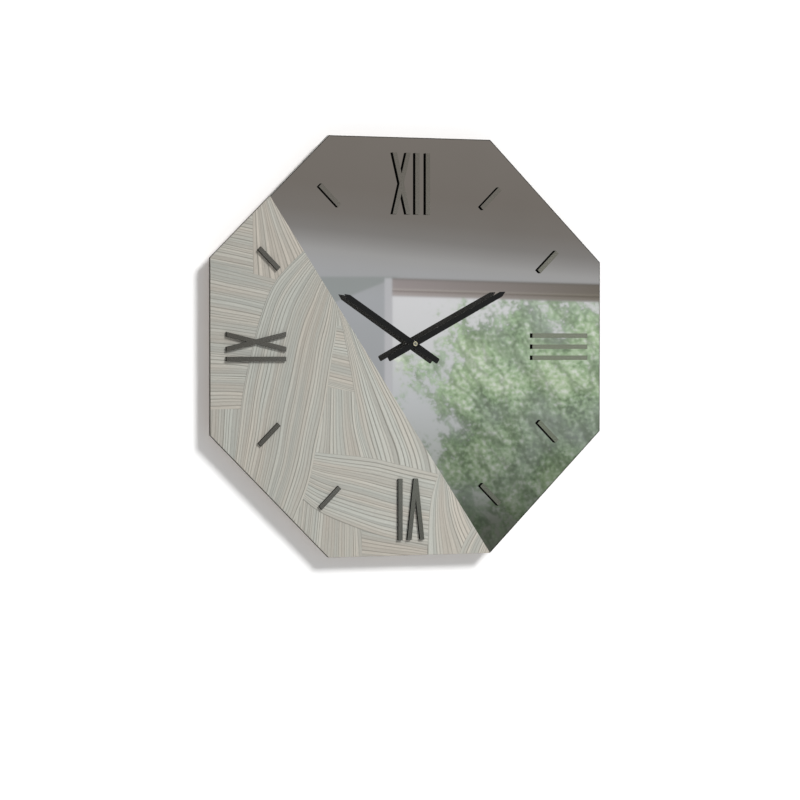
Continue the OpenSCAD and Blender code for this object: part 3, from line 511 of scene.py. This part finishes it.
def swathMesh(name, rank, layer, tone, left, right, planes):
    # ruled surface: the point at (s, t) is (1 - t) times the left curve at s plus t times
    # the right curve at s. t runs over the ridges: each has a low edge and two raised
    # shoulders, and sways by two sines of the length along. u is that length, v the number
    # of ridges passed times their mean width.
    look = veneer
    middle = (smoothCurve(left, look["roughRows"]) + smoothCurve(right, look["roughRows"])) / 2
    length = np.linalg.norm(np.diff(middle, axis=0), axis=1).sum()
    n = int(np.clip(length / look["rowMm"], *look["rowLimits"]))
    a, b = smoothCurve(left, n), smoothCurve(right, n)
    steps = np.linalg.norm(np.diff((a + b) / 2, axis=0), axis=1)
    along = np.concatenate([[0], np.cumsum(steps)])
    edges = ridgeEdges(np.linalg.norm(b - a, axis=1).mean(), rank)
    count = len(edges) - 1
    parts = np.array([0, look["shoulder"], 1 - look["shoulder"]])
    phase = np.append((np.arange(count)[:, None] + parts).ravel(), count)
    raised = np.append(np.tile([0.0, 1.0, 1.0], count), 0.0)
    pull = look["sway"] * np.clip(np.minimum(phase, count - phase), 0, 1)
    swing = sum(size * np.sin(along[:, None] / runMm + phase / shift + turn * rank)
                for size, runMm, shift, turn in look["sways"])
    t = np.interp(phase + pull * swing, np.arange(count + 1), edges)[..., None]
    flat = (1 - t) * a[:, None, :] + t * b[:, None, :]
    across = (phase + look["lineOffset"] * rank) * look["ridgeMm"]
    m = len(phase)
    spots = np.empty((n, m, 3))
    spots[..., 0] = flat[..., 0] * mm
    spots[..., 1] = -(look["bedMm"] + look["stepMm"] * layer + look["ridgeHighMm"] * raised) * mm
    spots[..., 2] = flat[..., 1] * mm
    i, j = np.meshgrid(np.arange(n - 1), np.arange(m - 1), indexing="ij")
    corner = (i * m + j).ravel()
    faces = np.stack([corner, corner + 1, corner + m + 1, corner + m], axis=1)
    mesh = bpy.data.meshes.new(name)
    mesh.from_pydata(spots.reshape(-1, 3).tolist(), [], faces.tolist())
    mesh.attributes.new("swathTone", "FLOAT_VECTOR", "POINT").data.foreach_set(
        "vector", np.tile((*tone, 0.0), (n * m, 1)).ravel().astype(np.float32))
    uv = np.stack(np.meshgrid(along, across, indexing="ij"), axis=-1).reshape(-1, 2)
    mesh.uv_layers.new(name="combLines").data.foreach_set(
        "uv", uv[faces.ravel()].ravel().astype(np.float32))
    # cut to the panel, then the rim drawn back to the panel and the back closed
    shape = bmesh.new()
    shape.from_mesh(mesh)
    for point, way in planes:
        everything = shape.verts[:] + shape.edges[:] + shape.faces[:]
        bmesh.ops.bisect_plane(shape, geom=everything, plane_co=point, plane_no=way,
                               clear_outer=True)
    rim = [e for e in shape.edges if e.is_boundary]
    drawn = bmesh.ops.extrude_edge_only(shape, edges=rim)["geom"]
    low = [g for g in drawn if isinstance(g, bmesh.types.BMVert)]
    bmesh.ops.scale(shape, verts=low, vec=(1, 0, 1))
    foot = [g for g in drawn if isinstance(g, bmesh.types.BMEdge) and g.is_boundary]
    bmesh.ops.contextual_create(shape, geom=foot)
    bmesh.ops.recalc_face_normals(shape, faces=shape.faces[:])
    bmesh.ops.translate(shape, verts=shape.verts[:], vec=(faceMid.x, faceY, faceMid.z))
    shape.to_mesh(mesh)
    shape.free()
    return mesh


def combedFacing():
    planes = veneerPlanes()
    whole = bmesh.new()
    for rank, (name, layer, lean, bright, left, right) in enumerate(veneer["swaths"]):
        mesh = swathMesh(name, rank, layer, (lean, bright), left, right, planes)
        whole.from_mesh(mesh)
        bpy.data.meshes.remove(mesh)
    mesh = bpy.data.meshes.new("combedFacing")
    whole.to_mesh(mesh)
    whole.free()
    piece = bpy.data.objects.new("combedFacing", mesh)
    bpy.context.scene.collection.objects.link(piece)
    mesh.materials.append(combedSurface("combedVeneer", veneer["ridgeMm"]))
    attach(piece, "clock")
    return piece


facing = combedFacing()
print("veneer laid,", len(facing.data.polygons), "faces")


# Stage: a white wall behind, a pale floor below, in metres. The wall isn't drawn from
# behind, and it lets through light that starts within a hand's width, so that the back can
# be seen.
stage = {"wall": "#fbfbfb", "floor": "#e6e6e4", "roughness": 0.9, "cloudTone": (0.995, 1.005),
         "width": 9, "height": 6, "drop": 1.6, "depth": 3, "wallY": 0.0004, "nearMm": 90}


def plane(name, corners, oneSided):
    mesh = bpy.data.meshes.new(name)
    mesh.from_pydata(corners, [], [(0, 1, 2, 3)])
    piece = bpy.data.objects.new(name, mesh)
    bpy.context.scene.collection.objects.link(piece)
    material, tree, shader = startMaterial(name + "Paint", 0.0, stage["roughness"], 0.0)
    clouds = addNode(tree, "TexNoise", {"Vector": objectPoint(tree), "Scale": 0.5})
    low, high = stage["cloudTone"]
    tone = addNode(tree, "MapRange", {"Value": clouds, "To Min": low, "To Max": high})
    tree.links.new(paint(tree, stage[name], (1.0, tone, "MULTIPLY")),
                   shader.inputs["Base Color"])
    if oneSided:
        near = addNode(tree, "Math", {0: addNode(tree, "LightPath", out="Ray Length"),
                                      1: stage["nearMm"] * mm}, operation="LESS_THAN")
        behind = addNode(tree, "NewGeometry", out="Backfacing")
        clear = addNode(tree, "Math", {0: near, 1: behind}, operation="MAXIMUM")
        both = addNode(tree, "MixShader", {0: clear, 1: shader.outputs[0],
                                           2: addNode(tree, "BsdfTransparent")})
        tree.links.new(both, tree.nodes["Material Output"].inputs["Surface"])
    mesh.materials.append(material)
    return piece


w, h, d, wallY = stage["width"] / 2, stage["height"], stage["depth"], stage["wallY"]
floorZ = faceMid.z - stage["drop"]
plane("wall", [(-w, wallY, floorZ), (w, wallY, floorZ), (w, wallY, floorZ + h),
               (-w, wallY, floorZ + h)], True)
plane("floor", [(-w, -d, floorZ), (w, -d, floorZ), (w, wallY, floorZ), (-w, wallY, floorZ)],
      False)


# World: white to the camera, an even grey light, and to gloss a softly lit room.
# Directions are degrees to the right of straight out from the face, and degrees up; blurs
# and sizes are degrees too. Colour stops are (degrees, colour).
room = {
    "ambient": 0.22, "brightness": 1.3, "blur": 0.03,
    # ceiling and wall, in bands that fall to the right, and the paler corner on the left
    "bands": [(-5.0, "#8b8e90"), (1.0, "#a3a6aa"), (1.6, "#a1a2a4"), (1.86, "#9d9d9d"),
              (2.08, "#8d8c8b"), (2.28, "#7f7d7b"), (2.66, "#76726e"), (3.2, "#736e69"),
              (4.4, "#76716c")],
    "bandFall": 0.11,
    "corner": "#8b9190", "cornerLean": 0.4, "cornerFoot": -6.96, "cornerTop": 1.46,
    "cornerSide": (13.0, 3.0), "cornerShare": 0.75,
    # window: its opening, the sky's glow in it, the lintel above and the frame at its left
    "opening": (20.92, 28.0), "openingTop": 1.07, "lintelTop": 1.43, "lintelFall": 0.03,
    "glow": [(-4.3, "#4b4c46"), (-3.5, "#595d56"), (-2.9, "#878c88"), (-2.2, "#a0a4a2"),
             (-1.0, "#b9bcbf"), (0.1, "#c9cbcd"), (1.0, "#d0d1d4")],
    "lintel": [(1.07, "#a8a1a0"), (1.14, "#a19a99"), (1.17, "#807876"), (1.2, "#ada7a4"),
               (1.23, "#989191"), (1.38, "#958e8e"), (1.43, "#746f6c")],
    "lintelFade": [(20.9, "#ffffff"), (25.3, "#bcbcaf")],
    "post": "#b5b6ba", "postWidth": 0.15, "postBlur": 0.02,
    # leaves: a mound whose rim wanders, hazier and fresher clumps in it, darker towards the
    # ground. Rim gives each noise's pull on the rim, leaves run over the noises' sum.
    "leafSeed": 3.4, "leafMid": (24.1, -1.4), "leafReach": 2.7, "leafShare": 0.93,
    "leaves": [(1.1, "#4c5a46"), (1.2188, "#667e5c"), (1.37, "#96b18a"),
               (1.5104, "#bccdb4"), (1.64, "#eef2ec")],
    "rim": {"mound": 1.55, "leaf": 1.15, "dab": 0.9}, "rimBlur": 0.12, "clumpShare": 0.7,
    "noises": {"mound": {"Scale": 0.9, "Detail": 4.0, "Roughness": 0.6},
               "leaf": {"Scale": 1 / 0.36, "Detail": 7.0, "Roughness": 0.74,
                        "Distortion": 0.4},
               "dab": {"Scale": 1 / 0.085, "Detail": 3.0, "Roughness": 0.6},
               "clump": {"Scale": 1 / 1.1, "Detail": 1.0},
               "twig": {"Scale": 1 / 0.5, "Detail": 3.0, "Roughness": 0.6,
                        "Distortion": 0.6}},
    "branchTurn": 122, "drawnOut": {"leaf": 1.7, "twig": 3.0},
    # how far leaves cover, haze over and turn fresh green: noise, its two values, shares there
    "leafShares": {"cover": ("dab", 0.56, 0.66, 1.0, 0.5),
                   "haze": ("clump", 0.52, 0.3, 0.0, 0.5),
                   "fresh": ("clump", 0.52, 0.72, 0.0, 0.22)},
    "haze": "#b6c0bb", "fresh": "#b4c794",
    "twig": "#5e6c55", "twigLine": (0.47, 0.53), "twigBlur": 0.03, "twigShare": 0.5,
    "leafDepth": [(-4.3, "#5c5c5c"), (-3.4, "#858585"), (-2.6, "#b7b7b7"),
                  (-1.8, "#d8d8d8"), (-1.0, "#f2f2f2"), (-0.2, "#ffffff")],
    # a darker doorway far to the left, which greys the pale corner: edges with their blurs
    "shade": "#53514d", "shadeLean": 0.2, "shadeTurn": [(14.0, 0.8), (19.15, -0.2)],
    "shadeRise": [(-5.0, 1.2), (2.45, -0.2)]}


def colourAlong(tree, value, stops):
    # the colour that the stops give a value
    first, last = stops[0][0], stops[-1][0]
    share = addNode(tree, "MapRange", {"Value": value, "From Min": first, "From Max": last})
    ramp = addNode(tree, "ValToRGB", {"Fac": share})
    elements = ramp.node.color_ramp.elements
    while len(elements) < len(stops):
        elements.new(0.5)
    for element, (at, hexText) in zip(elements, stops):
        element.position = (at - first) / (last - first)
        element.color = linearColour(hexText)
    return ramp


def zone(tree, *limits, share=1.0):
    # share times a smooth step for each limit (value, edge, blur), which is 1 above the
    # edge, or below it where the blur is negative
    for value, edge, blur in limits:
        step = addNode(tree, "MapRange", {"Value": value, "From Min": edge - blur,
                                          "From Max": edge + blur},
                       interpolation_type="SMOOTHSTEP")
        share = addNode(tree, "Math", {0: share, 1: step}, operation="MULTIPLY")
    return share


def leafColour(tree, side, level):
    # the mound is where the squared distance from its middle, plus or minus each noise's
    # pull, is less than 1; gives its share of the view and the leaves' colour
    look = room
    spot = addNode(tree, "CombineXYZ", {0: side, 1: level, 2: look["leafSeed"]})
    noises = {}
    for name, settings in look["noises"].items():
        place = spot
        if name in look["drawnOut"]:
            place = addNode(tree, "Mapping", {
                "Vector": spot, "Scale": (look["drawnOut"][name], 1, 1),
                "Rotation": (0, 0, math.radians(look["branchTurn"]))}, vector_type="TEXTURE")
        noises[name] = addNode(tree, "TexNoise", {"Vector": place, **settings})
    away = addNode(tree, "VectorMath", {0: spot, 1: (*look["leafMid"], look["leafSeed"])},
                   operation="SUBTRACT")
    scaled = addNode(tree, "VectorMath", {0: away, 1: (look["leafReach"],) * 3},
                     operation="DIVIDE")
    edge = addNode(tree, "VectorMath", {0: scaled, 1: scaled}, operation="DOT_PRODUCT")
    for name, pull in look["rim"].items():
        edge = addNode(tree, "Math", {0: noises[name], 1: -2 * pull, 2: edge},
                       operation="MULTIPLY_ADD")

    shares = {}
    for key, (name, first, last, low, high) in look["leafShares"].items():
        shares[key] = addNode(tree, "MapRange", {"Value": noises[name], "From Min": first,
                                                 "From Max": last, "To Min": low,
                                                 "To Max": high})
    mound = zone(tree, (edge, 1.0 - sum(look["rim"].values()), -look["rimBlur"]),
                 share=shares["cover"])
    both = addNode(tree, "Math", {0: noises["leaf"], 1: noises["dab"]}, operation="ADD")
    mottle = addNode(tree, "Math", {0: noises["clump"], 1: look["clumpShare"], 2: both},
                     operation="MULTIPLY_ADD")
    (low, high), blur = look["twigLine"], look["twigBlur"]
    lines = zone(tree, (noises["twig"], low, blur), (noises["twig"], high, -blur),
                 share=look["twigShare"])
    leaf = paint(tree, colourAlong(tree, mottle, look["leaves"]),
                 (shares["haze"], look["haze"]), (shares["fresh"], look["fresh"]),
                 (lines, look["twig"]),
                 (1.0, colourAlong(tree, level, look["leafDepth"]), "MULTIPLY"))
    share = addNode(tree, "Math", {0: mound, 1: look["leafShare"]}, operation="MULTIPLY")
    return share, leaf


def roomColour(tree):
    look = room
    blur = look["blur"]
    start, end = look["opening"]
    ray = addNode(tree, "SeparateXYZ", {0: addNode(tree, "TexCoord", out="Generated")})
    x, y, z = ray.node.outputs
    outward = addNode(tree, "Math", {0: y, 1: -1}, operation="MULTIPLY")
    turn = addNode(tree, "Math", {0: x, 1: outward}, operation="ARCTAN2")
    rise = addNode(tree, "Math", {0: z}, operation="ARCSINE")
    side = addNode(tree, "Math", {0: turn}, operation="DEGREES")
    level = addNode(tree, "Math", {0: rise}, operation="DEGREES")

    def heightOver(fall):
        # height above a line that falls to the right of the window's left edge
        drop = addNode(tree, "Math", {0: side, 1: fall, 2: -fall * start},
                       operation="MULTIPLY_ADD")
        return addNode(tree, "Math", {0: level, 1: drop}, operation="ADD")

    slant = addNode(tree, "Math", {0: side, 1: look["cornerLean"], 2: look["cornerFoot"]},
                    operation="MULTIPLY_ADD")
    overSlant = addNode(tree, "Math", {0: level, 1: slant}, operation="SUBTRACT")
    corner = zone(tree, (overSlant, 0.0, blur), (level, look["cornerTop"], -blur),
                  (side, *look["cornerSide"]), share=look["cornerShare"])
    flush = heightOver(look["lintelFall"])
    garden = paint(tree, colourAlong(tree, level, look["glow"]), leafColour(tree, side, level))
    opening = zone(tree, (side, start, blur), (side, end, -blur),
                   (flush, look["openingTop"], -blur))
    beam = paint(tree, colourAlong(tree, flush, look["lintel"]),
                 (1.0, colourAlong(tree, side, look["lintelFade"]), "MULTIPLY"))
    lintel = zone(tree, (side, start, blur), (flush, look["openingTop"], blur),
                  (flush, look["lintelTop"], -blur))
    post = zone(tree, (side, start - look["postWidth"], look["postBlur"]),
                (side, start, -look["postBlur"]), (level, look["lintelTop"], -blur))
    leant = addNode(tree, "Math", {0: level, 1: look["shadeLean"], 2: side},
                    operation="MULTIPLY_ADD")
    dusk = zone(tree, *[(leant, *edge) for edge in look["shadeTurn"]],
                *[(level, *edge) for edge in look["shadeRise"]])
    return paint(tree, colourAlong(tree, heightOver(look["bandFall"]), look["bands"]),
                 (corner, look["corner"]), (opening, garden), (lintel, beam),
                 (post, look["post"]), (dusk, look["shade"]))


def makeWorld():
    world = bpy.data.worlds.new("studio")
    bpy.context.scene.world = world
    world.use_nodes = True
    tree = world.node_tree
    tree.nodes.clear()
    white = linearColour("#ffffff")
    plain = addNode(tree, "Background", {"Color": white, "Strength": room["ambient"]})
    behind = addNode(tree, "Background", {"Color": white, "Strength": 1.0})
    gloss = addNode(tree, "Background", {"Color": roomColour(tree),
                                         "Strength": room["brightness"]})
    first = addNode(tree, "MixShader", {0: addNode(tree, "LightPath", out="Is Camera Ray"),
                                        1: plain, 2: behind})
    last = addNode(tree, "MixShader", {0: addNode(tree, "LightPath", out="Is Glossy Ray"),
                                       1: first, 2: gloss})
    addNode(tree, "OutputWorld", {"Surface": last})


# Lamps: a key from the upper right, a fill from where the viewer stands, and a broad one
# behind, which the wall lets through to the back
lamps = {"key": {"from": (0.47, -1.0, 0.76), "strength": 2.69, "angle": 16},
         "fill": {"from": (-0.385, -1.0, 0.0), "strength": 0.65, "angle": 14},
         "back": {"from": (-0.3, 1.0, 0.6), "strength": 2.0, "angle": 60}}


def makeLamp(name, look):
    lamp = bpy.data.lights.new(name, "SUN")
    lamp.energy = look["strength"]
    lamp.angle = math.radians(look["angle"])
    lamp.cycles.max_bounces = 1  # sunlight thrown back by the mirror would leave bright specks
    piece = bpy.data.objects.new(name, lamp)
    bpy.context.scene.collection.objects.link(piece)
    x, y, z = look["from"]
    piece.rotation_euler = (math.atan2(math.hypot(x, y), z), 0, math.atan2(x, -y))


# Camera: a long lens, a little to the left of the clock and level with its middle; down and
# turn are in radians
cameraLook = {"lens": 125.8, "sensor": 36, "place": (-1.21565, -3.1418, -0.1426),
              "down": 0.0186, "turn": 0.368}


def makeCamera():
    look = cameraLook
    camera = bpy.data.objects.new("camera", bpy.data.cameras.new("camera"))
    bpy.context.scene.collection.objects.link(camera)
    camera.data.lens = look["lens"]
    camera.data.sensor_width = look["sensor"]
    camera.location = look["place"]
    camera.rotation_euler = (math.pi / 2 - look["down"], 0, -look["turn"])
    bpy.context.scene.camera = camera


makeWorld()
for lampName, lampLook in lamps.items():
    makeLamp(lampName, lampLook)
makeCamera()
bpy.context.scene.view_settings.view_transform = "Standard"
print("stage, lamps and camera made")
